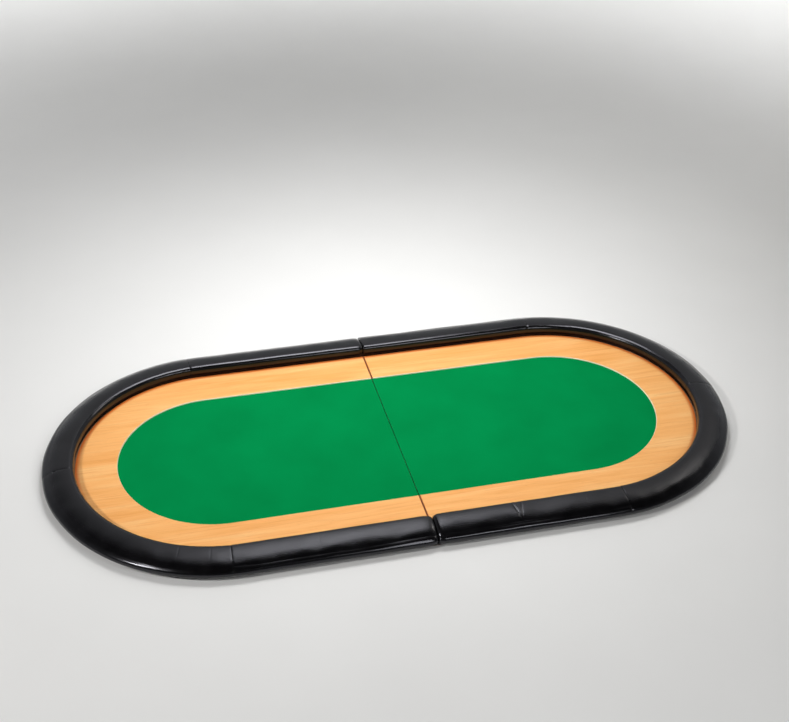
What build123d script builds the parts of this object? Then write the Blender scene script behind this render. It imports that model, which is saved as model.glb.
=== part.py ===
from build123d import *
import os
from math import atan2, cos, degrees, radians, sin, tan

# Folding oval poker table top, in millimetres.
# +X runs along the oval, +Y to its back, +Z up. The origin is on the surface that the
# feet stand on, under the middle of the fold. A place on the rail is given by how far
# it is from the oval's spine, the line between the centres of its two round ends.

# Driving dimensions: the oval
SPINE_X = 546.0  # fold line to the centre of a round end
FELT_R = 300.0  # spine to the edge of the playing field
RAIL_IN_R = 424.5  # spine to the inner wall of the padded rail
RAIL_OUT_R = 520.5  # spine to the outermost bulge of the padded rail

# Driving dimensions: the layers, from the feet up
FOOT_H = 5.0
BOARD_T = 9.0
TRACK_T = 6.0
UNDERLAY_T = 1.5
FELT_T = 0.8
RAIL_RISE = 38.0  # crest of the rail above the wooden racetrack
CORE_T = 18.0
VINYL_T = 1.0

Z_BOARD = FOOT_H
Z_DECK = Z_BOARD + BOARD_T
Z_TRACK = Z_DECK + TRACK_T
Z_FELT = Z_DECK + UNDERLAY_T + FELT_T
Z_CREST = Z_TRACK + RAIL_RISE
Z_CORE = Z_DECK + CORE_T
Z_WRAP = Z_BOARD - VINYL_T

# Driving dimensions: gaps
BOARD_GAP = 1.0  # fold line to the edge of a board
FELT_GAP = 0.6
RAIL_GAP = 1.5  # fold line to the end of a rail
TRACK_CLEARANCE = 0.3
UNDERLAY_CLEARANCE = 0.5
FELT_CLEARANCE = 0.2
HOLE_CLEARANCE = 0.05

# Padded rail section
INNER_SHOULDER_R = 13.0
OUTER_SHOULDER_R = 14.0
OUTER_SHOULDER_Z = 26.0
SKIRT_ANGLE = 40.0  # lean of the skirt, in degrees from upright
WRAP_IN_R = 478.0  # spine to the stapled edge of the vinyl under the board
CORE_IN_R = 431.0
CORE_OUT_R = 500.0
SEAM_ARC = 3.6  # how far the panels of the straights run on into a round end, in degrees

# Racetrack
TRACK_ROUND_R = 3.0
TRACK_BEVEL = 0.8  # along its edges at the fold

# Countersunk wood screws: shank radius, head radius and length
SCREW_ANGLE = 90.0
RAIL_SCREW = (2.0, 4.0, 22.0)
HINGE_SCREW = (1.5, 2.9, 8.0)
FOOT_SCREW = (1.75, 3.4, 9.5)
RAIL_SCREW_R = 466.0
RAIL_SCREW_X = (60.0, 200.0, 340.0, 480.0)
RAIL_SCREW_ARC = 150.0
RAIL_SCREW_ARC_COUNT = 6
SCREW_END_ROOM = 0.2
RECESS_WIDTH = 0.25  # width and depth of a cross recess, as shares of the head radius
RECESS_DEPTH = 0.3

# Staples that hold the vinyl under the board
STAPLE_R = 486.0
STAPLE_PITCH = 42.0
STAPLE_CROWN = 10.0
STAPLE_WIRE_W = 1.2
STAPLE_WIRE_T = 0.6
STAPLE_LEG = 6.0
STAPLE_START_X = 25.0
STRAIGHT_STAPLES = 13
ARC_STAPLES = 36
STAPLE_ARC = 175.0

# Feet
FOOT_TOP_R = 18.0
FOOT_BOTTOM_R = 16.0
FOOT_WELL_R = 6.0
FOOT_WELL_DEPTH = 2.5
FOOT_XY = ((190.0, 330.0), (560.0, 410.0), (900.0, 190.0))

# Hinges
HINGE_Y = {"back": 340.0, "middle": 0.0, "front": -340.0}
HINGE_DROP = 1.8  # pin axis below the face of the leaves, so that the folded halves stay apart
LEAF_T = 1.5
LEAF_REACH = 32.0
LEAF_L = 60.0
KNUCKLE_R = 3.0
KNUCKLES = 5
KNUCKLE_GAP = 0.3
KNUCKLE_ROOM = 0.4
PIN_R = 1.5
PIN_HEAD_R = 2.4
PIN_HEAD_T = 1.0
LEAF_SCREWS = ((13.0, -20.0), (23.0, 0.0), (13.0, 20.0))
Z_PIN = Z_BOARD - HINGE_DROP

LEFT, RIGHT = -1, 1
BACK, FRONT = 1, -1
SIDE_NAMES = {LEFT: "left", RIGHT: "right"}
EDGE_NAMES = {BACK: "back", FRONT: "front"}

os.makedirs("parts", exist_ok=True)


def save(builder, label):
    """Writes one finished sub-part as its own STEP file."""
    builder.part.label = label
    export_step(builder.part, f"parts/{label}.step")


def half_oval(side, radius, gap, mode=Mode.ADD):
    """Adds one half of an oval to the open sketch: a straight stretch and a round end."""
    with Locations((side * (SPINE_X + gap) / 2, 0)):
        Rectangle(SPINE_X - gap, 2 * radius, mode=mode)
    with Locations((side * SPINE_X, 0)):
        Circle(radius, mode=mode)


def spine_places(side, radius, straight_x, arc, count):
    """Places at one distance from the spine, in line with it: both straights, then the end."""
    places = [Location((side * x, edge * radius)) for edge in (BACK, FRONT) for x in straight_x]
    for i in range(count):
        angle = arc * (i / (count - 1) - 0.5)
        x = SPINE_X + radius * cos(radians(angle))
        y = radius * sin(radians(angle))
        places.append(Location((side * x, y), side * angle + 90))
    return places


# Shared geometry of the rail's section. The crown is an arc that is level at the inner
# shoulder and runs smoothly into the outer shoulder.
CROWN_X = RAIL_IN_R + INNER_SHOULDER_R
OUTER_SHOULDER_X = RAIL_OUT_R - OUTER_SHOULDER_R
CROWN_RUN = OUTER_SHOULDER_X - CROWN_X
CROWN_FALL = Z_CREST - OUTER_SHOULDER_Z
CROWN_R = (CROWN_RUN**2 + CROWN_FALL**2 - OUTER_SHOULDER_R**2) / (2 * (CROWN_FALL - OUTER_SHOULDER_R))
CROWN_ANGLE = degrees(atan2(CROWN_R - CROWN_FALL, CROWN_RUN))


def on_arc(centre, radius, angle):
    """A point on a circle, with its angle in degrees."""
    return (
        centre[0] + radius * cos(radians(angle)),
        centre[1] + radius * sin(radians(angle)),
    )


def skirt_foot(inset, z):
    """Where the straight skirt, moved inwards by inset, comes down to height z."""
    x, top = on_arc((OUTER_SHOULDER_X, OUTER_SHOULDER_Z), OUTER_SHOULDER_R - inset, -SKIRT_ANGLE)
    return x - (top - z) * tan(radians(SKIRT_ANGLE))


BOARD_R = skirt_foot(VINYL_T, Z_BOARD)


def rail_outline(inset, closing):
    """The rail's outline, moved inwards by inset and closed by the points given."""
    shoulder = (CROWN_X, Z_CREST - INNER_SHOULDER_R)
    crown = (CROWN_X, Z_CREST - CROWN_R)
    bulge = (OUTER_SHOULDER_X, OUTER_SHOULDER_Z)
    inner_r = INNER_SHOULDER_R - inset
    outer_r = OUTER_SHOULDER_R - inset
    crown_r = CROWN_R - inset
    foot_z = Z_WRAP if inset == 0 else Z_BOARD
    wall_foot = (RAIL_IN_R + inset, Z_DECK)
    wall_top = on_arc(shoulder, inner_r, 180)
    crest = on_arc(shoulder, inner_r, 90)
    crown_end = on_arc(bulge, outer_r, CROWN_ANGLE)
    skirt_top = on_arc(bulge, outer_r, -SKIRT_ANGLE)
    skirt_end = (skirt_foot(inset, foot_z), foot_z)
    Line(wall_foot, wall_top)
    ThreePointArc(wall_top, on_arc(shoulder, inner_r, 135), crest)
    ThreePointArc(crest, on_arc(crown, crown_r, (90 + CROWN_ANGLE) / 2), crown_end)
    ThreePointArc(crown_end, on_arc(bulge, outer_r, 0), skirt_top)
    Polyline(skirt_top, skirt_end, *closing, wall_foot)


def section_plane(side, edge, x, turn=0.0):
    """A plane across the rail, turned from an edge towards the tip, its x away from the spine."""
    away_x = side * sin(radians(turn))
    away_y = edge * cos(radians(turn))
    return Plane(origin=(side * x, 0, 0), x_dir=(away_x, away_y, 0), z_dir=(away_y, -away_x, 0))


def round_axis(side, edge):
    """The upright axis of a round end, to turn from an edge towards the tip."""
    return Axis((side * SPINE_X, 0, 0), (0, 0, -edge * side))


with BuildSketch() as end_section:
    with BuildLine():
        rail_outline(VINYL_T, [(BOARD_R, Z_DECK)])
    make_face()

with BuildSketch() as padding_section:
    add(end_section.sketch)
    with Locations(((CORE_IN_R + CORE_OUT_R) / 2, Z_DECK + CORE_T / 2)):
        Rectangle(CORE_OUT_R - CORE_IN_R, CORE_T, mode=Mode.SUBTRACT)

with BuildSketch() as vinyl_section:
    with BuildLine():
        rail_outline(0, [(WRAP_IN_R, Z_WRAP), (WRAP_IN_R, Z_BOARD), (BOARD_R, Z_BOARD), (BOARD_R, Z_DECK)])
    make_face()
    add(end_section.sketch, mode=Mode.SUBTRACT)


def make_board(side):
    """Base board of one half, with its screw holes and its hinge recesses."""
    with BuildPart() as board:
        with BuildSketch(Plane.XY.offset(Z_BOARD)):
            half_oval(side, BOARD_R, BOARD_GAP)
        extrude(amount=BOARD_T)
        with BuildSketch(Plane.XY.offset(Z_BOARD)):
            with Locations(*[(side * (BOARD_GAP + LEAF_REACH) / 2, y) for y in HINGE_Y.values()]):
                Rectangle(LEAF_REACH - BOARD_GAP, LEAF_L)
        extrude(amount=LEAF_T, mode=Mode.SUBTRACT)
        knuckle_x = KNUCKLE_R + KNUCKLE_ROOM + 2 * HOLE_CLEARANCE
        with BuildSketch(Plane.XY.offset(Z_BOARD)):
            with Locations(*[(side * (BOARD_GAP + knuckle_x) / 2, y) for y in HINGE_Y.values()]):
                Rectangle(knuckle_x - BOARD_GAP, LEAF_L + 2 * (PIN_HEAD_T + KNUCKLE_GAP))
        extrude(amount=KNUCKLE_R + KNUCKLE_ROOM - HINGE_DROP, mode=Mode.SUBTRACT)
        cut_screw_holes(RAIL_SCREW, Z_BOARD, rail_screw_places(side), BOARD_T)
        cut_screw_holes(FOOT_SCREW, FOOT_WELL_DEPTH, foot_places(side), FOOT_SCREW[2] + SCREW_END_ROOM)
        for hinge_y in HINGE_Y.values():
            places = leaf_screw_places(side, hinge_y)
            cut_screw_holes(HINGE_SCREW, Z_BOARD, places, HINGE_SCREW[2] + SCREW_END_ROOM)
    return board


def rail_screw_places(side):
    """Places of the screws that hold the rail core, driven up through the board."""
    return spine_places(side, RAIL_SCREW_R, RAIL_SCREW_X, RAIL_SCREW_ARC, RAIL_SCREW_ARC_COUNT)


def leaf_screw_places(side, hinge_y):
    """Places of the screws in one hinge leaf."""
    return [Location((side * x, hinge_y + y)) for x, y in LEAF_SCREWS]


def foot_places(side):
    """Places of the feet of one half."""
    return [Location((side * x, edge * y)) for x, y in FOOT_XY for edge in (BACK, FRONT)]


def cut_screw_holes(screw, seat_z, places, depth):
    """Cuts countersunk holes for screws driven upwards, with their heads at seat_z."""
    shank_r, head_r, _ = screw
    upside_down = Location((0, 0, seat_z), (180, 0, 0))
    with Locations(*[place * upside_down for place in places]):
        CounterSinkHole(
            radius=shank_r + HOLE_CLEARANCE,
            counter_sink_radius=head_r + HOLE_CLEARANCE,
            depth=depth,
            counter_sink_angle=SCREW_ANGLE,
        )


def make_screws(screw, seat_z, places):
    """A group of countersunk screws, driven upwards, with their heads at seat_z."""
    shank_r, head_r, length = screw
    with BuildPart() as screws:
        with BuildSketch(Plane.XY.offset(seat_z)):
            with Locations(*places):
                Circle(head_r)
        extrude(amount=head_r - shank_r, taper=SCREW_ANGLE / 2)
        with BuildSketch(Plane.XY.offset(seat_z)):
            with Locations(*places):
                Circle(shank_r)
        extrude(amount=length)
        with BuildSketch(Plane.XY.offset(seat_z)):
            with Locations(*places):
                Rectangle(head_r, RECESS_WIDTH * head_r)
                Rectangle(RECESS_WIDTH * head_r, head_r)
        extrude(amount=RECESS_DEPTH * head_r, mode=Mode.SUBTRACT)
    return screws


def make_racetrack(side):
    """Veneered wooden ring round the playing field, its inner top edge rounded."""
    with BuildPart() as track:
        with BuildSketch(Plane.XY.offset(Z_DECK)):
            half_oval(side, RAIL_IN_R - TRACK_CLEARANCE, BOARD_GAP)
            half_oval(side, FELT_R, 0, mode=Mode.SUBTRACT)
        extrude(amount=TRACK_T)
        at_fold = track.faces().filter_by(Axis.X).edges().group_by(Axis.Z)[-1]
        chamfer(at_fold, length=TRACK_BEVEL)
        top = track.edges().group_by(Axis.Z)[-1]
        limit = FELT_R + TRACK_ROUND_R
        inner = top.filter_by(lambda e: abs((e @ 0.5).Y) < limit and side * (e @ 0.5).X < SPINE_X + limit)
        fillet(inner, radius=TRACK_ROUND_R)
    return track


def make_field(side, bottom_z, thickness, edge_gap, fold_gap):
    """A flat half-oval layer of the playing field."""
    with BuildPart() as layer:
        with BuildSketch(Plane.XY.offset(bottom_z)):
            half_oval(side, FELT_R - edge_gap, fold_gap)
        extrude(amount=thickness)
    return layer


def make_core(side):
    """Plywood core of the rail, one U-shaped piece screwed to the board."""
    with BuildPart() as core:
        with BuildSketch(Plane.XY.offset(Z_DECK)):
            half_oval(side, CORE_OUT_R, RAIL_GAP + VINYL_T)
            half_oval(side, CORE_IN_R, 0, mode=Mode.SUBTRACT)
        extrude(amount=CORE_T)
        with BuildSketch(Plane.XY.offset(Z_DECK)):
            with Locations(*rail_screw_places(side)):
                Circle(RAIL_SCREW[0] + HOLE_CLEARANCE)
        extrude(amount=RAIL_SCREW[2] - BOARD_T + SCREW_END_ROOM, mode=Mode.SUBTRACT)
    return core


def make_straight_piece(side, edge, section, start, end, arc=0.0):
    """A piece of the rail from start to end away from the fold, and on into the round end."""
    with BuildPart() as piece:
        with BuildSketch(section_plane(side, edge, start)):
            add(section.sketch)
        extrude(amount=side * edge * (end - start))
        if arc:
            with BuildSketch(section_plane(side, edge, end)):
                add(section.sketch)
            revolve(axis=round_axis(side, edge), revolution_arc=arc)
    return piece


def make_round_piece(side, edge, section, start, end):
    """A piece of the rail round the oval's end, between two turns from one edge's straight."""
    with BuildPart() as piece:
        with BuildSketch(section_plane(side, edge, SPINE_X, start)):
            add(section.sketch)
        revolve(axis=round_axis(side, edge), revolution_arc=end - start)
    return piece


def make_staples(side):
    """Wire staples through the vinyl's turned-under edge, their legs in the board."""
    straight_x = [STAPLE_START_X + STAPLE_PITCH * i for i in range(STRAIGHT_STAPLES)]
    places = spine_places(side, STAPLE_R, straight_x, STAPLE_ARC, ARC_STAPLES)
    leg_x = (STAPLE_CROWN - STAPLE_WIRE_T) / 2
    with BuildPart() as staples:
        with BuildSketch(Plane.XY.offset(Z_WRAP - STAPLE_WIRE_T)):
            with Locations(*places):
                Rectangle(STAPLE_CROWN, STAPLE_WIRE_W)
        extrude(amount=STAPLE_WIRE_T)
        with BuildSketch(Plane.XY.offset(Z_WRAP)):
            with Locations(*places):
                with Locations((-leg_x, 0), (leg_x, 0)):
                    Rectangle(STAPLE_WIRE_T, STAPLE_WIRE_W)
        extrude(amount=STAPLE_LEG)
    return staples


def make_feet(side):
    """Round rubber feet, each with a well for its screw."""
    upright = (Align.CENTER, Align.CENTER, Align.MIN)
    with BuildPart() as feet:
        with Locations(*foot_places(side)):
            Cone(FOOT_BOTTOM_R, FOOT_TOP_R, FOOT_H, align=upright)
            Cylinder(FOOT_WELL_R, FOOT_WELL_DEPTH, align=upright, mode=Mode.SUBTRACT)
        cut_screw_holes(FOOT_SCREW, FOOT_WELL_DEPTH, foot_places(side), FOOT_H)
    return feet


def knuckle_spans(side, hinge_y):
    """Lowest y and length of each knuckle that belongs to one half's leaf."""
    pitch = LEAF_L / KNUCKLES
    first = 0 if side == LEFT else 1
    return [
        (hinge_y - LEAF_L / 2 + i * pitch + KNUCKLE_GAP / 2, pitch - KNUCKLE_GAP)
        for i in range(first, KNUCKLES, 2)
    ]


def make_leaf(side, hinge_y):
    """Steel hinge leaf, flush in the board, with its share of the knuckles."""
    plate_x = KNUCKLE_R + KNUCKLE_ROOM
    with BuildPart() as leaf:
        with BuildSketch(Plane.XY.offset(Z_BOARD)):
            with Locations((side * (plate_x + LEAF_REACH) / 2, hinge_y)):
                Rectangle(LEAF_REACH - plate_x, LEAF_L)
            for low_y, length in knuckle_spans(side, hinge_y):
                with Locations((side * plate_x / 2, low_y + length / 2)):
                    Rectangle(plate_x, length)
        extrude(amount=LEAF_T)
        for low_y, length in knuckle_spans(side, hinge_y):
            with BuildSketch(Plane(origin=(0, low_y, Z_PIN), x_dir=(1, 0, 0), z_dir=(0, 1, 0))):
                Circle(KNUCKLE_R)
            extrude(amount=length)
        with BuildSketch(Plane(origin=(0, hinge_y - LEAF_L, Z_PIN), x_dir=(1, 0, 0), z_dir=(0, 1, 0))):
            Circle(PIN_R + HOLE_CLEARANCE)
        extrude(amount=2 * LEAF_L, mode=Mode.SUBTRACT)
        cut_screw_holes(HINGE_SCREW, Z_BOARD, leaf_screw_places(side, hinge_y), 2 * LEAF_T)
    return leaf


def make_pin(hinge_y):
    """Steel hinge pin with a flat head at each end."""
    low_y = hinge_y - LEAF_L / 2 - PIN_HEAD_T
    with BuildPart() as pin:
        with BuildSketch(Plane(origin=(0, low_y, Z_PIN), x_dir=(1, 0, 0), z_dir=(0, 1, 0))):
            Circle(PIN_R)
        extrude(amount=LEAF_L + 2 * PIN_HEAD_T)
        for y in (low_y, low_y + LEAF_L + PIN_HEAD_T):
            with BuildSketch(Plane(origin=(0, y, Z_PIN), x_dir=(1, 0, 0), z_dir=(0, 1, 0))):
                Circle(PIN_HEAD_R)
            extrude(amount=PIN_HEAD_T)
    return pin


for side, half in SIDE_NAMES.items():
    save(make_board(side), f"{half}_base_board")
    save(make_racetrack(side), f"{half}_racetrack")
    underlay = make_field(side, Z_DECK, UNDERLAY_T, UNDERLAY_CLEARANCE, BOARD_GAP)
    save(underlay, f"{half}_felt_underlay")
    felt = make_field(side, Z_DECK + UNDERLAY_T, FELT_T, FELT_CLEARANCE, FELT_GAP)
    save(felt, f"{half}_felt")
    save(make_core(side), f"{half}_rail_core")
    save(make_round_piece(side, BACK, padding_section, 0, 180), f"{half}_rail_foam_round")
    for edge, name in EDGE_NAMES.items():
        foam = make_straight_piece(side, edge, padding_section, RAIL_GAP + VINYL_T, SPINE_X)
        save(foam, f"{half}_rail_foam_{name}")
        cover = make_straight_piece(side, edge, vinyl_section, RAIL_GAP, SPINE_X, SEAM_ARC)
        save(cover, f"{half}_cover_{name}")
        patch = make_straight_piece(side, edge, end_section, RAIL_GAP, RAIL_GAP + VINYL_T)
        save(patch, f"{half}_cover_{name}_end")
        curve = make_round_piece(side, edge, vinyl_section, SEAM_ARC, 90)
        save(curve, f"{half}_cover_{name}_round")
    save(make_staples(side), f"{half}_cover_staples")
    save(make_screws(RAIL_SCREW, Z_BOARD, rail_screw_places(side)), f"{half}_rail_screws")
    save(make_feet(side), f"{half}_feet")
    save(make_screws(FOOT_SCREW, FOOT_WELL_DEPTH, foot_places(side)), f"{half}_foot_screws")
    screw_places = [place for y in HINGE_Y.values() for place in leaf_screw_places(side, y)]
    save(make_screws(HINGE_SCREW, Z_BOARD, screw_places), f"{half}_hinge_screws")
    for place, hinge_y in HINGE_Y.items():
        save(make_leaf(side, hinge_y), f"{half}_hinge_leaf_{place}")

for place, hinge_y in HINGE_Y.items():
    save(make_pin(hinge_y), f"hinge_pin_{place}")
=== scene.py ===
"""Looks of the folding oval poker table top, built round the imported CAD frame."""

from math import asin, atan2, cos, pi, radians, sin, sqrt

import bpy
import numpy as np
from mathutils import Matrix, Vector, noise


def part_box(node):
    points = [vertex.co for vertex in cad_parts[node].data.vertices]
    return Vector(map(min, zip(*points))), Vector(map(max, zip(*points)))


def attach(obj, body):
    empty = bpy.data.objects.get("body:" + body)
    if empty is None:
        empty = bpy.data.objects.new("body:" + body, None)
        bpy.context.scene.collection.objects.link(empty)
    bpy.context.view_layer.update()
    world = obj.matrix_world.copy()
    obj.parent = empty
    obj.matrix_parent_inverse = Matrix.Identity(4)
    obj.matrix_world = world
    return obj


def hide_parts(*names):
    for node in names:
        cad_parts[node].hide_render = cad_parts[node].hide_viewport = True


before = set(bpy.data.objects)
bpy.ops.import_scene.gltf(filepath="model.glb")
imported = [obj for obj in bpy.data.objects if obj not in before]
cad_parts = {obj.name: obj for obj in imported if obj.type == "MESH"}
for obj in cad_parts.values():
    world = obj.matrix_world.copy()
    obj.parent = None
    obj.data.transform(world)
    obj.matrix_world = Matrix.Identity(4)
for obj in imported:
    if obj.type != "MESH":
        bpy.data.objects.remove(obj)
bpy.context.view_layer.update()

MM = 0.001
SIDES = {"left": -1, "right": 1}
EDGES = {"back": 1, "front": -1}

# Places and sizes taken from the frame
COVER_LOW, COVER_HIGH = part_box("right_cover_back")
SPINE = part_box("right_rail_foam_back")[1].x
RAIL_GAP = COVER_LOW.x
RAIL_IN = COVER_LOW.y
RAIL_OUT = COVER_HIGH.y
Z_WRAP = COVER_LOW.z
Z_CREST = COVER_HIGH.z
SEAM_TURN = asin((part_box("right_cover_back_round")[0].x - SPINE) / RAIL_IN)
BOARD_LOW, BOARD_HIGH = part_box("right_base_board")
BOARD_R = BOARD_HIGH.y
Z_BOARD = BOARD_LOW.z
Z_DECK = BOARD_HIGH.z
Z_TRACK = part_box("right_racetrack")[1].z
FELT_LOW, FELT_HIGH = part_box("right_felt")


# ---------------------------------------------------------------- small helpers


def smooth(t):
    """Smooth step from 0 to 1 of a number or an array."""
    t = np.clip(t, 0.0, 1.0)
    return t * t * (3 - 2 * t)


def bump_at(u, centre, width):
    """A bell of height 1 at centre."""
    return np.exp(-(((u - centre) / width) ** 2))


def wander(s, seed, length):
    """Slow wandering between about -1 and 1 along a distance s, the same every run."""
    return 2 * noise.noise(Vector((s / length, seed, 0.37 * seed)))


def mesh_object(name, points, faces, shade_smooth=True):
    """A mesh object of the given points and faces, linked to the scene."""
    mesh = bpy.data.meshes.new(name)
    mesh.from_pydata([tuple(p) for p in points], [], faces)
    mesh.validate()
    mesh.polygons.foreach_set("use_smooth", [shade_smooth] * len(mesh.polygons))
    mesh.update()
    obj = bpy.data.objects.new(name, mesh)
    bpy.context.scene.collection.objects.link(obj)
    return obj


# ---------------------------------------------------------------- materials


class Shader:
    """A material's or world's node tree, with short calls for the nodes used here."""

    def __init__(self, name, kind="materials", surface="Principled BSDF", place="Object"):
        self.owner = getattr(bpy.data, kind).new(name)
        self.owner.use_nodes = True
        self.tree = self.owner.node_tree
        self.surface = self.tree.nodes[surface]
        self.place = self.tree.nodes.new("ShaderNodeTexCoord").outputs[place]

    def put(self, node, key, value):
        """Links a socket, or sets a plain value, on one input."""
        if isinstance(value, bpy.types.NodeSocket):
            self.tree.links.new(value, node.inputs[key])
        else:
            node.inputs[key].default_value = value

    def set(self, **values):
        """Sets inputs of the surface shader; underscores stand for spaces."""
        for key, value in values.items():
            self.put(self.surface, key.replace("_", " "), value)
        return self.owner

    def stretch(self, scale):
        """Object coordinates scaled along each axis."""
        node = self.tree.nodes.new("ShaderNodeMapping")
        self.put(node, "Vector", self.place)
        self.put(node, "Scale", scale)
        return node.outputs["Vector"]

    def noise(self, vector, scale, detail=4.0, roughness=0.55, distortion=0.0):
        """Noise texture between 0 and 1."""
        node = self.tree.nodes.new("ShaderNodeTexNoise")
        self.put(node, "Vector", vector)
        self.put(node, "Scale", scale)
        self.put(node, "Detail", detail)
        self.put(node, "Roughness", roughness)
        self.put(node, "Distortion", distortion)
        return node.outputs["Fac"]

    def cells(self, vector, scale):
        """Distance output of a Voronoi texture."""
        node = self.tree.nodes.new("ShaderNodeTexVoronoi")
        self.put(node, "Vector", vector)
        self.put(node, "Scale", scale)
        return node.outputs["Distance"]

    def ramp(self, value, *stops):
        """Colour ramp; each stop is (position, colour)."""
        node = self.tree.nodes.new("ShaderNodeValToRGB")
        elements = node.color_ramp.elements
        while len(elements) < len(stops):
            elements.new(0.5)
        for element, (position, colour) in zip(elements, stops):
            element.position = position
            element.color = (*colour, 1)
        self.put(node, "Fac", value)
        return node.outputs["Color"]

    def span(self, value, low, high, to_low, to_high):
        """Maps a value from one range to another, held within it."""
        node = self.tree.nodes.new("ShaderNodeMapRange")
        self.put(node, "Value", value)
        self.put(node, "From Min", low)
        self.put(node, "From Max", high)
        self.put(node, "To Min", to_low)
        self.put(node, "To Max", to_high)
        return node.outputs["Result"]

    def maths(self, operation, a, b):
        """One arithmetic step."""
        node = self.tree.nodes.new("ShaderNodeMath")
        node.operation = operation
        self.put(node, 0, a)
        self.put(node, 1, b)
        return node.outputs["Value"]

    def mix(self, share, a, b):
        """Mixes two colours: the node's inputs 6 and 7, and its output 2."""
        node = self.tree.nodes.new("ShaderNodeMix")
        node.data_type = "RGBA"
        self.put(node, "Factor", share)
        for key, value in ((6, a), (7, b)):
            linked = isinstance(value, bpy.types.NodeSocket)
            self.put(node, key, value if linked else (*value, 1))
        return node.outputs[2]

    def bump(self, height, distance, strength=1.0, under=None):
        """Bump from a height between 0 and 1, worth distance metres."""
        node = self.tree.nodes.new("ShaderNodeBump")
        self.put(node, "Height", height)
        self.put(node, "Distance", distance)
        self.put(node, "Strength", strength)
        if under is not None:
            self.put(node, "Normal", under)
        return node.outputs["Normal"]

    def parts(self, vector):
        """The X, Y and Z of a vector."""
        node = self.tree.nodes.new("ShaderNodeSeparateXYZ")
        self.put(node, "Vector", vector)
        return [node.outputs[axis] for axis in "XYZ"]

    def from_fold(self):
        """Distance from the fold line."""
        return self.maths("ABSOLUTE", self.parts(self.place)[0], 0.0)

    def from_spine(self):
        """Distance from the spine of the oval."""
        x, y, _ = self.parts(self.place)
        along = self.maths("ABSOLUTE", x, 0.0)
        beyond = self.maths("MAXIMUM", self.maths("SUBTRACT", along, SPINE), 0.0)
        squares = self.maths("MULTIPLY", beyond, beyond), self.maths("MULTIPLY", y, y)
        return self.maths("SQRT", self.maths("ADD", *squares), 0.0)

    def upwards(self):
        """How far the surface faces up in object space, -1 to 1."""
        coordinates = self.tree.nodes.new("ShaderNodeTexCoord")
        return self.parts(coordinates.outputs["Normal"])[2]


def vinyl_material():
    """Soft black PU leather: fine pebbled grain, faint creasing, duller on top where arms rest."""
    s = Shader("black_pu_leather")
    grain = s.cells(s.place, 620)
    pores = s.noise(s.place, 2100, detail=2)
    creases = s.noise(s.stretch((1, 1, 1.6)), 62, detail=5, roughness=0.6, distortion=0.6)
    mottle = s.noise(s.place, 21, detail=3)
    normal = s.bump(creases, 0.35 * MM, 0.2)
    normal = s.bump(grain, 0.06 * MM, 0.32, normal)
    normal = s.bump(pores, 0.03 * MM, 0.2, normal)
    colour = s.ramp(mottle, (0.3, (0.0012, 0.0011, 0.0013)), (0.75, (0.0028, 0.0026, 0.0030)))
    worn = s.span(s.upwards(), 0.90, 0.975, 0.19, 0.40)
    gloss = s.maths("ADD", s.span(mottle, 0.3, 0.7, -0.02, 0.03), worn)
    return s.set(
        Base_Color=colour,
        Roughness=gloss,
        Normal=normal,
        IOR=1.5,
        Specular_IOR_Level=0.5,
        Specular_Tint=(0.91, 0.91, 1.0, 1),
    )


def felt_material():
    """Green wool-blend felt: short nap, slightly cloudy dye, and painted shade along the fold."""
    s = Shader("green_felt")
    cloud = s.noise(s.place, 5.5, detail=3, roughness=0.5)
    nap = s.noise(s.place, 900, detail=4, roughness=0.7)
    fibres = s.noise(s.stretch((1, 2.2, 1)), 380, detail=3, distortion=1.4)
    dye = s.ramp(cloud, (0.32, (0.0002, 0.217, 0.055)), (0.68, (0.0002, 0.252, 0.066)))
    colour = s.mix(s.span(nap, 0.35, 0.7, 0.0, 0.30), dye, (0.0001, 0.185, 0.045))
    # painted shade: the felt darkens towards the fold, standing in for the shadow in the joint
    # between the halves
    fold_gap_shade = s.span(s.from_fold(), 0.4 * MM, 1.8 * MM, 0.85, 0.0)
    colour = s.mix(fold_gap_shade, colour, (0.0001, 0.040, 0.010))
    normal = s.bump(fibres, 0.25 * MM, 0.5)
    normal = s.bump(nap, 0.18 * MM, 0.8, normal)
    return s.set(
        Base_Color=colour,
        Roughness=0.96,
        Normal=normal,
        Specular_IOR_Level=0.02,
        Sheen_Weight=0.04,
        Sheen_Roughness=0.6,
        Sheen_Tint=(0.0, 0.80, 0.30, 1),
    )


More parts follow.
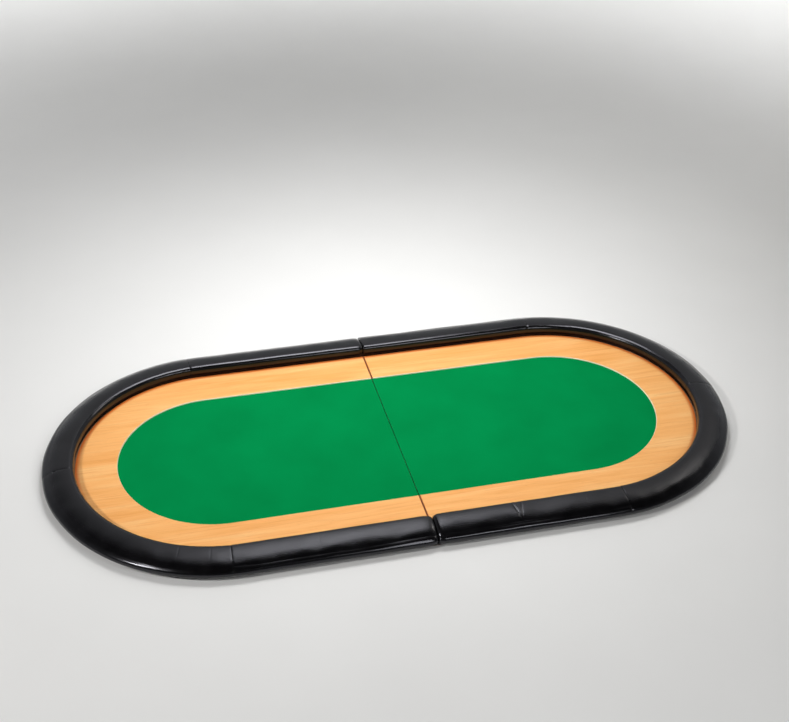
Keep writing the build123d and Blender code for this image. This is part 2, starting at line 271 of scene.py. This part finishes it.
def racetrack_material():
    """Lacquered honey beech veneer, its grain along the table, with painted shade beside the rail
    and along the fold, and a paler rounded inner edge.
    """
    s = Shader("beech_racetrack")
    warped = s.stretch((1.0, 11.0, 11.0))
    figure = s.noise(warped, 2.2, detail=5, roughness=0.55, distortion=0.5)
    streaks = s.noise(s.stretch((6.0, 210.0, 210.0)), 1.0, detail=5, roughness=0.62)
    flecks = s.noise(s.stretch((42.0, 640.0, 640.0)), 1.0, detail=2, roughness=0.5)
    pores = s.noise(s.stretch((110.0, 2400.0, 2400.0)), 1.0, detail=2)
    dark, middle, pale = (0.87, 0.385, 0.102), (0.95, 0.470, 0.155), (0.98, 0.565, 0.225)
    colour = s.ramp(figure, (0.30, dark), (0.50, middle), (0.72, pale))
    colour = s.mix(s.span(streaks, 0.50, 0.74, 0.0, 0.42), colour, (0.66, 0.215, 0.040))
    colour = s.mix(s.span(flecks, 0.66, 0.76, 0.0, 0.45), colour, (0.50, 0.17, 0.035))
    colour = s.mix(s.span(pores, 0.60, 0.80, 0.0, 0.20), colour, (0.55, 0.21, 0.05))
    # painted shade: the wood darkens and reddens towards the rail's inner wall, standing in for
    # the rail's contact shadow
    rail_contact_shade = s.span(s.from_spine(), RAIL_IN - 13 * MM, RAIL_IN - 3 * MM, 0.0, 0.9)
    colour = s.mix(rail_contact_shade, colour, (0.60, 0.110, 0.008))
    # paler where the surface turns from facing up, on the rounded inner edge: partly worn bare
    # edge, partly a painted highlight
    edge = s.span(s.upwards(), 0.60, 0.98, 0.95, 0.0)
    colour = s.mix(edge, colour, (1.0, 0.92, 0.70))
    # painted shade: the wood darkens towards the fold line, standing in for the shadow in the
    # joint between the halves
    fold_joint_shade = s.span(s.from_fold(), 2.2 * MM, 4.2 * MM, 0.9, 0.0)
    colour = s.mix(fold_joint_shade, colour, (0.36, 0.075, 0.012))
    normal = s.bump(streaks, 0.05 * MM, 0.35)
    normal = s.bump(pores, 0.03 * MM, 0.4, normal)
    return s.set(
        Base_Color=colour,
        Roughness=s.span(figure, 0.3, 0.7, 0.40, 0.48),
        Normal=normal,
        Specular_IOR_Level=0.2,
        Coat_Weight=0.06,
        Coat_Roughness=0.35,
    )


def fibreboard_material():
    """Bare medium-density fibreboard: warm brown, fine speckle."""
    s = Shader("bare_fibreboard")
    speckle = s.noise(s.place, 1400, detail=3, roughness=0.7)
    fluff = s.noise(s.place, 240, detail=4)
    cloud = s.noise(s.place, 6, detail=3)
    colour = s.ramp(speckle, (0.30, (0.185, 0.108, 0.056)), (0.70, (0.330, 0.215, 0.125)))
    colour = s.mix(s.span(cloud, 0.3, 0.7, 0.0, 0.35), colour, (0.235, 0.150, 0.085))
    normal = s.bump(fluff, 0.08 * MM, 0.4)
    normal = s.bump(speckle, 0.05 * MM, 0.5, normal)
    return s.set(Base_Color=colour, Roughness=s.span(fluff, 0.3, 0.7, 0.70, 0.86), Normal=normal)


def plywood_material():
    """Bare plywood: pale, with dark glue lines between its plies."""
    s = Shader("bare_plywood")
    grain = s.noise(s.stretch((3.0, 60.0, 60.0)), 1.0, detail=5)
    plies = s.noise(s.stretch((0.5, 0.5, 420.0)), 1.0, detail=0)
    colour = s.ramp(grain, (0.3, (0.46, 0.31, 0.17)), (0.7, (0.66, 0.49, 0.30)))
    colour = s.mix(s.span(plies, 0.45, 0.60, 0.0, 0.4), colour, (0.28, 0.16, 0.08))
    return s.set(Base_Color=colour, Roughness=0.7, Normal=s.bump(grain, 0.1 * MM, 0.4))


def foam_material():
    """Open-cell foam: pale, with fine cells."""
    s = Shader("open_cell_foam")
    cells = s.cells(s.place, 900)
    tint = s.noise(s.place, 12, detail=3)
    colour = s.ramp(tint, (0.3, (0.62, 0.59, 0.50)), (0.7, (0.74, 0.72, 0.64)))
    return s.set(Base_Color=colour, Roughness=0.95, Normal=s.bump(cells, 0.4 * MM, 0.7))


def rubber_material():
    """Matt black rubber with a moulded skin and a little dust."""
    s = Shader("foot_rubber")
    skin = s.noise(s.place, 900, detail=3)
    dust = s.noise(s.place, 60, detail=4)
    colour = s.ramp(dust, (0.45, (0.012, 0.012, 0.012)), (0.8, (0.045, 0.043, 0.040)))
    roughness = s.span(dust, 0.3, 0.8, 0.62, 0.85)
    return s.set(Base_Color=colour, Roughness=roughness, Normal=s.bump(skin, 0.05 * MM, 0.5))


def steel_material(name, light, dark, roughness, along):
    """Zinc-plated steel: fine rolling marks and cloudy passivation."""
    s = Shader(name)
    marks = s.noise(s.stretch(along), 1.0, detail=4, roughness=0.6)
    cloud = s.noise(s.place, 130, detail=4)
    colour = s.ramp(cloud, (0.3, dark), (0.7, light))
    cloudy = s.span(cloud, 0.3, 0.7, roughness, roughness + 0.12)
    gloss = s.maths("ADD", s.span(marks, 0.3, 0.7, -0.06, 0.06), cloudy)
    normal = s.bump(marks, 0.02 * MM, 0.3)
    return s.set(Base_Color=colour, Metallic=1.0, Roughness=gloss, Normal=normal)


def floor_material():
    """Plain pale floor."""
    s = Shader("pale_floor")
    cloud = s.noise(s.place, 1.5, detail=3)
    colour = s.ramp(cloud, (0.3, (0.80, 0.80, 0.79)), (0.7, (0.83, 0.83, 0.82)))
    return s.set(Base_Color=colour, Roughness=0.75, Specular_IOR_Level=0.2)


# ---------------------------------------------------------------- padded rail


class RailSection:
    """The rail's outline as points in (distance from the spine, height), in metres.

    lean points from each point towards the middle of the padding, along is the distance
    round the outline, and free is 1 where the vinyl lies on padding and 0 where it is held.
    """

    inner_r = 17 * MM  # rounding between the inner wall and the crown
    outer_r = 12 * MM  # rounding of the outer bulge
    outer_z = 25 * MM  # height of the outer bulge
    skirt_angle = radians(44)  # how far the bulge turns under
    wrap_in = 478 * MM  # where the vinyl ends under the board
    step = 2.6 * MM
    corner = 1 * MM

    def __init__(self):
        shoulder = (RAIL_IN + self.inner_r, Z_CREST - self.inner_r)
        bulge = (RAIL_OUT - self.outer_r, self.outer_z)
        run, fall = bulge[0] - shoulder[0], Z_CREST - self.outer_z
        crown_r = (run**2 + fall**2 - self.outer_r**2) / (2 * (fall - self.outer_r))
        crown = (shoulder[0], Z_CREST - crown_r)
        crown_end = atan2(crown_r - fall, run)
        skirt_top = self.on_arc(bulge, self.outer_r, -self.skirt_angle)
        skirt_run = (skirt_top[1] - Z_WRAP) * sin(self.skirt_angle) / cos(self.skirt_angle)
        skirt_end = (skirt_top[0] - skirt_run, Z_WRAP)
        shown = [(RAIL_IN + 0.3 * MM, Z_DECK + self.corner)]
        self.line(shown, (RAIL_IN, Z_CREST - self.inner_r))
        self.arc(shown, shoulder, self.inner_r, pi, pi / 2)
        self.arc(shown, crown, crown_r, pi / 2, crown_end)
        self.arc(shown, bulge, self.outer_r, crown_end, -self.skirt_angle)
        self.line(shown, skirt_end, short_of=1.2 * MM)
        self.line(shown, (skirt_end[0] - 1.5 * MM, Z_WRAP))
        self.line(shown, (self.wrap_in, Z_WRAP + 0.1 * MM))
        closing = [(self.wrap_in, Z_BOARD), (BOARD_R - 2 * self.corner, Z_BOARD)]
        closing += [(BOARD_R, Z_DECK - 2 * self.corner), (BOARD_R - 6 * self.corner, Z_DECK)]
        closing += [(RAIL_IN + 8 * self.corner, Z_DECK)]
        self.points = np.array(shown + closing)
        self.count = len(self.points)
        self.shown = len(shown)
        steps = np.linalg.norm(np.diff(self.points, axis=0), axis=1)
        self.along = np.concatenate([[0], np.cumsum(steps)])
        spine_a = np.array([RAIL_IN + 23 * MM, Z_DECK + 20 * MM])
        spine_b = np.array([RAIL_OUT - 23 * MM, Z_DECK + 14 * MM])
        axis = spine_b - spine_a
        share = np.clip((self.points - spine_a) @ axis / (axis @ axis), 0, 1)
        self.middle = spine_a + share[:, None] * axis
        gap = self.middle - self.points
        self.depth = np.linalg.norm(gap, axis=1)
        self.lean = gap / self.depth[:, None]
        held = smooth((self.points[:, 1] - Z_TRACK) / (9 * MM))
        under = smooth((self.points[:, 1] - Z_WRAP - 1 * MM) / (8 * MM))
        self.free = np.where(self.points[:, 0] > (RAIL_IN + RAIL_OUT) / 2, under, held)
        self.free[self.shown :] = 0

    @staticmethod
    def on_arc(centre, radius, angle):
        return centre[0] + radius * cos(angle), centre[1] + radius * sin(angle)

    def line(self, points, end, short_of=0.0):
        """Adds points along a straight to end, or to short_of before it."""
        x0, z0 = points[-1]
        length = sqrt((end[0] - x0) ** 2 + (end[1] - z0) ** 2)
        reach = (length - short_of) / length
        count = max(1, round(length / self.step))
        for i in range(1, count + 1):
            t = reach * i / count
            points.append((x0 + (end[0] - x0) * t, z0 + (end[1] - z0) * t))

    def arc(self, points, centre, radius, start, end):
        """Adds points along an arc, after its start."""
        count = max(6, round(abs(end - start) * radius / self.step))
        for i in range(1, count + 1):
            points.append(self.on_arc(centre, radius, start + (end - start) * i / count))

    def at_height(self, z, outer):
        """Distance round the outline where the inner or outer side passes a height."""
        side = self.points[: self.shown]
        near = np.abs(side[:, 1] - z)
        near[(side[:, 0] > (RAIL_IN + RAIL_OUT) / 2) != outer] = 1
        return self.along[int(np.argmin(near))]


SECTION = RailSection()

# Where the padding's features lie, as distances round the section
INNER_FOOT = SECTION.at_height(Z_TRACK + 1 * MM, outer=False)
INNER_RIDGE = SECTION.at_height(Z_TRACK + 16.5 * MM, outer=False)
INNER_CROWN = INNER_RIDGE + 12 * MM
CROWN_MIDDLE = SECTION.at_height(Z_CREST - 3 * MM, outer=True)
OUTER_CREASE = SECTION.at_height(Z_TRACK + 22.0 * MM, outer=True)
OUTER_RIDGE = SECTION.at_height(Z_TRACK + 16.5 * MM, outer=True)
OUTER_SKIRT = OUTER_RIDGE + 12 * MM

# How far the vinyl is drawn in at the foot of the inner wall, and over what width
FOOT_TUCK = 6.0 * MM
FOOT_REACH = 14 * MM

# Slow swells of the padding: centre, width, height, distance between swells, seed
SWELLS = (
    (CROWN_MIDDLE - 15 * MM, 30 * MM, 1.4 * MM, 0.13, 0),
    (CROWN_MIDDLE + 10 * MM, 22 * MM, 0.6 * MM, 0.045, 5),
    (OUTER_SKIRT, 12 * MM, 1.0 * MM, 0.11, 31),
)

# How the padding rounds off at the fold: how far along the rail, and how far inwards
END_ROUND = {
    "left_back": (24 * MM, 6 * MM),
    "right_back": (6 * MM, 5 * MM),
    "left_front": (36 * MM, 9 * MM),
    "right_front": (20 * MM, 12 * MM),
}
END_PROUD = 0.8 * MM  # the padding stands out past the stiff core at the fold
SEAM_DEPTH = 0.7 * MM
SEAM_REACH = 3.2 * MM
CAP_RINGS = (0.25, 0.5, 0.72, 0.9)  # shares of the way from the rim to the padding's middle
CAP_BULGE = 0.3 * MM


def stations(length, step, end_step, marks=(), growth=1.22, spread=0.014):
    """Distances from 0 to length, close together at both ends and round each mark."""
    half, gap = [0.0], end_step
    while half[-1] < length / 2:
        half.append(half[-1] + gap)
        gap = min(step, gap * growth)
    half = np.array(half) * (length / 2) / half[-1]
    made = np.concatenate([half, length - half[-2::-1]])
    for mark in marks:
        made = made[np.abs(made - mark) > spread]
        made = np.sort(np.append(made, np.arange(mark - spread, mark + spread, 1.3 * MM)))
    return made


def padding_shift(s, seed, straight):
    """How far the vinyl stands out from the even section, in metres, at one station."""
    u = SECTION.along
    shift = np.zeros(SECTION.count)
    for centre, width, height, between, more in SWELLS:
        shift += height * wander(s, seed + more, between) * bump_at(u, centre, width)
    inner = INNER_RIDGE + 1.6 * MM * wander(s, seed + 9, 0.30)
    inner_depth = 0.75 + 0.35 * wander(s, seed + 13, 0.22)
    ridge_width = np.where(u > inner, 5.5 * MM, 10.0 * MM)
    shift += 1.2 * MM * inner_depth * bump_at(u, inner, ridge_width)
    shift -= 0.5 * MM * inner_depth * bump_at(u, inner + 8 * MM, 3.0 * MM)
    drift = 3.2 * MM * wander(s, seed + 21, 0.24) + 1.0 * MM * wander(s, seed + 22, 0.07)
    outer_depth = 0.8 + 0.4 * wander(s, seed + 17, 0.15)
    crease, ridge = (0.9 * MM, 0.8 * MM) if straight else (0.2 * MM, 0.4 * MM)
    shift -= crease * outer_depth * bump_at(u, OUTER_CREASE + drift, 3.0 * MM)
    shift += ridge * outer_depth * bump_at(u, OUTER_RIDGE + drift, 3.2 * MM)
    if not straight:
        pucker = bump_at(u, INNER_CROWN, 12 * MM)
        shift += 0.25 * MM * wander(s, seed + 41, 0.016) * pucker
    return shift * SECTION.free - FOOT_TUCK * bump_at(u, INNER_FOOT, FOOT_REACH)


# panel, distance along it, slant, reach across the rail, depth, width
CREASES = (
    ("right_front", 0.245, 0.22, 0.032, 1.4 * MM, 2.8 * MM),
    ("right_front", 0.257, -0.18, 0.030, 0.9 * MM, 2.0 * MM),
    ("right_front", 0.455, 0.05, 0.026, 0.3 * MM, 2.4 * MM),
    ("left_front_round", 0.060, 0.05, 0.030, 0.2 * MM, 2.6 * MM),
    ("left_front_round", 0.150, -0.06, 0.028, 0.25 * MM, 2.6 * MM),
    ("left_front", 0.330, 0.08, 0.022, 0.3 * MM, 2.4 * MM),
)


def fold_creases(panel, s):
    """Short pressed folds across the top of some panels."""
    u, shift = SECTION.along, np.zeros(SECTION.count)
    for name, at, slant, reach, depth, width in CREASES:
        if name == panel:
            across = bump_at(s, at + slant * (u - CROWN_MIDDLE), width)
            shift -= depth * across * bump_at(u, CROWN_MIDDLE - 12 * MM, reach)
    return shift * SECTION.free


# Distances along the rail, measured from the fold along its middle
RAIL_MIDDLE = (RAIL_IN + RAIL_OUT) / 2
DEEPEST = 0.92  # of the way to the padding's middle
STRAIGHT = SPINE - RAIL_GAP + END_PROUD
SEAM_AT = STRAIGHT + SEAM_TURN * RAIL_MIDDLE
TIP_AT = STRAIGHT + pi / 2 * RAIL_MIDDLE


def on_rail(side, edge, s, points):
    """Points of the section, (from the spine, height), placed s along the rail from its end."""
    turn = max(0.0, (s - STRAIGHT) / RAIL_MIDDLE)
    x = SPINE + min(0.0, s - STRAIGHT) + points[:, 0] * sin(turn)
    return np.column_stack([side * x, edge * points[:, 0] * cos(turn), points[:, 1]])


def rail_ring(side, edge, s, inset):
    """The section's points at one station, drawn in towards the padding's middle."""
    inset = np.minimum(inset, DEEPEST * SECTION.depth)
    return on_rail(side, edge, s, SECTION.points + SECTION.lean * inset[:, None])


def rail_panel(half, place, straight, seed):
    """One vinyl panel with its padding: from the fold to the seam, or on from there to the tip."""
    side, edge = SIDES[half], EDGES[place]
    suffix = "" if straight else "_round"
    name = f"{half}_{place}{suffix}"
    start, end = (0.0, SEAM_AT) if straight else (SEAM_AT, TIP_AT)
    end_length, end_depth = END_ROUND[f"{half}_{place}"]
    rings = []
    marks = [at for panel, at, *_ in CREASES if panel == name]
    for s in stations(end - start, 6 * MM, 0.8 * MM, marks) + start:
        inset = -padding_shift(s, seed, straight) - fold_creases(name, s - start)
        pucker = SECTION.free * (1 + 0.25 * np.sin(SECTION.along / (3.4 * MM)))
        for gap in [end - s] if straight else [s - start, end - s]:
            inset = inset + SEAM_DEPTH * pucker * np.exp(-((gap / SEAM_REACH) ** 1.4))
        if straight and s < end_length:
            fall = end_depth * (1 - sqrt(1 - (1 - s / end_length) ** 2))
            inset = inset + fall * (0.08 + 0.92 * SECTION.free)
        rings.append(rail_ring(side, edge, s, inset))
    first = cap_rings(side, edge, start, rings[0], CAP_BULGE if straight else 0.0)
    rings = first[::-1] + rings + cap_rings(side, edge, end, rings[-1], 0.0)
    n = SECTION.count
    faces = []
    for i in range(len(rings) - 1):
        for j in range(n):
            k = (j + 1) % n
            faces.append((i * n + j, i * n + k, (i + 1) * n + k, (i + 1) * n + j))
    faces.append(tuple(range(n))[::-1])
    faces.append(tuple((len(rings) - 1) * n + j for j in range(n)))
    if side * edge > 0:
        faces = [face[::-1] for face in faces]
    obj = mesh_object(f"{half}_rail_{place}{suffix}", np.vstack(rings), faces)
    subdivide(obj)
    return obj


def cap_rings(side, edge, s, ring, bulge):
    """Rings that close a panel's end, standing out at the fold by bulge."""
    middle = on_rail(side, edge, s, SECTION.middle)
    made = []
    for share in CAP_RINGS:
        points = ring + (middle - ring) * share
        points[:, 0] -= side * bulge * sin(share * pi / 2)
        made.append(points)
    return made


def subdivide(obj):
    """Leaves a Catmull-Clark modifier of one level on the piece."""
    modifier = obj.modifiers.new("smooth", "SUBSURF")
    modifier.levels = modifier.render_levels = 1


def build_rails(vinyl):
    """The padded rail, four panels to each half."""
    for seed, half in enumerate(SIDES):
        for more, place in enumerate(EDGES):
            start = 60 * seed + 13 * more + 3.3
            panel = rail_panel(half, place, True, start)
            cover, foam = f"{half}_cover_{place}", f"{half}_rail_foam"
            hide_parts(cover, f"{cover}_end", f"{foam}_{place}")
            curve = rail_panel(half, place, False, start + 101)
            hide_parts(f"{cover}_round", f"{foam}_round")
            for piece in (panel, curve):
                piece.data.materials.append(vinyl)
                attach(piece, f"{half}_half")


# ---------------------------------------------------------------- felt


FELT_R = FELT_HIGH.y
FELT_GAP = FELT_LOW.x
FELT_TIP = FELT_HIGH.x
EDGE_ROLL = 1.6 * MM  # how far in the felt's cut edge rolls down
EDGE_DROP = 0.7 * MM


def felt_sheet(half, felt):
    """Stretched felt of one half, its cut edges rolled down into the joints."""
    side = SIDES[half]
    across = stations(2.0, 0.06, 0.0015, growth=1.6) - 1
    xs = stations(FELT_TIP - FELT_GAP, 16 * MM, 0.4 * MM, growth=1.5) + FELT_GAP
    xs[-1] -= 0.02 * MM  # the last row is short, not a single point
    top = []
    for x in xs:
        beyond = max(0.0, x - SPINE)
        half_width = sqrt(max(FELT_R**2 - beyond**2, 1e-9))
        for t in across:
            y = half_width * t
            reach = min(FELT_R - sqrt(beyond**2 + y**2), x - FELT_GAP)
            roll = 1 - float(smooth(reach / EDGE_ROLL))
            waver = 0.06 * MM * noise.noise(Vector((x * 9, y * 9, 2.0 + side)))
            top.append((side * x, y, FELT_HIGH.z - EDGE_DROP * roll**1.5 + waver * (1 - roll)))
    n, rows = len(across), len(xs)
    points = top + [(x, y, FELT_LOW.z) for x, y, _ in top]
    below = n * rows
    faces = []
    for i in range(rows - 1):
        for j in range(n - 1):
            a, b = i * n + j, i * n + j + 1
            c, d = a + n, b + n
            faces.append((a, b, d, c))
            faces.append((below + a, below + c, below + d, below + b))
    rim = [i * n for i in range(rows)] + [(rows - 1) * n + j for j in range(1, n)]
    rim += [i * n + n - 1 for i in range(rows - 2, -1, -1)] + list(range(n - 2, 0, -1))
    for a, b in zip(rim, rim[1:] + rim[:1]):
        faces.append((a, b, below + b, below + a))
    if side > 0:
        faces = [face[::-1] for face in faces]
    obj = mesh_object(f"{half}_playing_felt", points, faces)
    obj.data.materials.append(felt)
    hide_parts(f"{half}_felt")
    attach(obj, f"{half}_half")


# ---------------------------------------------------------------- carried-over CAD pieces


def finish_cad_nodes(materials):
    """Gives every CAD node that stays its own finish."""
    kinds = (
        ("_base_board", "board"),
        ("_racetrack", "track"),
        ("_felt_underlay", "foam"),
        ("_rail_core", "plywood"),
        ("_cover_staples", "wire"),
        ("_screws", "screw"),
        ("_feet", "rubber"),
        ("hinge_leaf", "hinge"),
        ("hinge_pin", "screw"),
    )
    for name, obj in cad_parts.items():
        for word, kind in kinds:
            if word in name:
                obj.data.materials.clear()
                obj.data.materials.append(materials[kind])


# ---------------------------------------------------------------- stage


AIM = (0.3179 * FELT_R, 1.2579 * FELT_R, Z_TRACK)
CAMERA_AZIMUTH = radians(-14.923)
CAMERA_ELEVATION = radians(35.01)
CAMERA_ROLL = radians(1.456)
CAMERA_DISTANCE = 4.7165
CAMERA_LENS = 64.88


def build_camera():
    """The camera, with the photograph's viewing angle."""
    back = Vector(
        (
            sin(CAMERA_AZIMUTH) * cos(CAMERA_ELEVATION),
            -cos(CAMERA_AZIMUTH) * cos(CAMERA_ELEVATION),
            sin(CAMERA_ELEVATION),
        )
    )
    right = (-back).cross(Vector((0, 0, 1))).normalized()
    up = right.cross(-back)
    rolled_right = cos(CAMERA_ROLL) * right + sin(CAMERA_ROLL) * up
    rolled_up = cos(CAMERA_ROLL) * up - sin(CAMERA_ROLL) * right
    data = bpy.data.cameras.new("camera")
    data.sensor_width = 36
    data.lens = CAMERA_LENS
    camera = bpy.data.objects.new("camera", data)
    bpy.context.scene.collection.objects.link(camera)
    turn = Matrix((rolled_right, rolled_up, back)).transposed().to_4x4()
    camera.matrix_world = Matrix.Translation(Vector(AIM) + CAMERA_DISTANCE * back) @ turn
    bpy.context.scene.camera = camera


def area_light(name, place, target, size, power, colour=(1, 1, 1), spread=180):
    """A soft rectangular light aimed at a point, its beam narrowed to spread degrees."""
    data = bpy.data.lights.new(name, "AREA")
    data.shape = "RECTANGLE"
    data.size, data.size_y = size
    data.energy = power
    data.color = colour
    data.spread = radians(spread)
    light = bpy.data.objects.new(name, data)
    bpy.context.scene.collection.objects.link(light)
    light.location = place
    light.rotation_euler = (Vector(target) - Vector(place)).to_track_quat("-Z", "Y").to_euler()
    return light


def studio_sky():
    """Grey studio walls round the scene: paler beyond the table, dark overhead."""
    s = Shader("studio", "worlds", "Background", "Generated")
    _, y, z = s.parts(s.place)
    high, beyond = s.span(z, 0.35, 0.80, 1.0, 0.06), s.span(y, -0.6, 0.6, 0.25, 1.0)
    strength = s.maths("MULTIPLY", s.maths("MULTIPLY", high, beyond), SKY_STRENGTH)
    bpy.context.scene.world = s.set(Color=(0.95, 0.97, 1.0, 1), Strength=strength)


FLOOR_HALF = 30.0
SKY_STRENGTH = 0.45
WASHES = 8
WASH_RADIUS = 6.0
WASH_HEIGHT = 4.5


def build_stage():
    """Pale floor, soft lights and grey studio walls."""
    corners = ((-1, -1), (1, -1), (1, 1), (-1, 1))
    points = [(FLOOR_HALF * x, FLOOR_HALF * y, 0) for x, y in corners]
    floor = mesh_object("floor", points, [(0, 1, 2, 3)], shade_smooth=False)
    floor.data.materials.append(floor_material())
    area_light("key", (-3.3, -1.6, 3.0), (0, 0, 0), (0.7, 0.4), 84, (1.0, 0.985, 0.97))
    area_light("softbox", (0.15, 0.62, 2.3), (0.0, 0.6, 0), (1.0, 1.3), 16, spread=100)
    area_light("front", (0.9, -2.5, 2.0), (0, 0, 0), (1.1, 0.8), 18)
    area_light("right", (2.9, 0.9, 3.0), (-0.5, 0, 0), (0.9, 0.9), 16, (1.0, 0.96, 0.88))
    area_light("wash", (0.5, 6.0, 4.5), (0, 3.5, 0), (8, 3), 26)
    for i in range(WASHES):
        turn = 2 * pi * i / WASHES
        x, y = WASH_RADIUS * sin(turn), WASH_RADIUS * cos(turn)
        place, below = (x, y, WASH_HEIGHT), (x, y, 0)
        wash = area_light(f"floor_wash_{i}", place, below, (4, 4), 75, spread=60)
        wash.visible_glossy = False
    studio_sky()
    bpy.context.scene.view_settings.view_transform = "Standard"


# ---------------------------------------------------------------- build


# kind: name, light and dark colour, roughness, stretch of the rolling marks
STEELS = {
    "wire": ("staple_wire", (0.62, 0.60, 0.56), (0.46, 0.45, 0.42), 0.30, (60, 900, 900)),
    "screw": ("screw_steel", (0.66, 0.65, 0.62), (0.50, 0.49, 0.46), 0.26, (300, 300, 900)),
    "hinge": ("hinge_steel", (0.60, 0.60, 0.61), (0.44, 0.44, 0.45), 0.30, (900, 40, 900)),
}

build_camera()
build_stage()
build_rails(vinyl_material())
FELT = felt_material()
for half_name in SIDES:
    felt_sheet(half_name, FELT)
finish_cad_nodes(
    {
        "board": fibreboard_material(),
        "track": racetrack_material(),
        "foam": foam_material(),
        "plywood": plywood_material(),
        "rubber": rubber_material(),
        **{kind: steel_material(*finish) for kind, finish in STEELS.items()},
    }
)
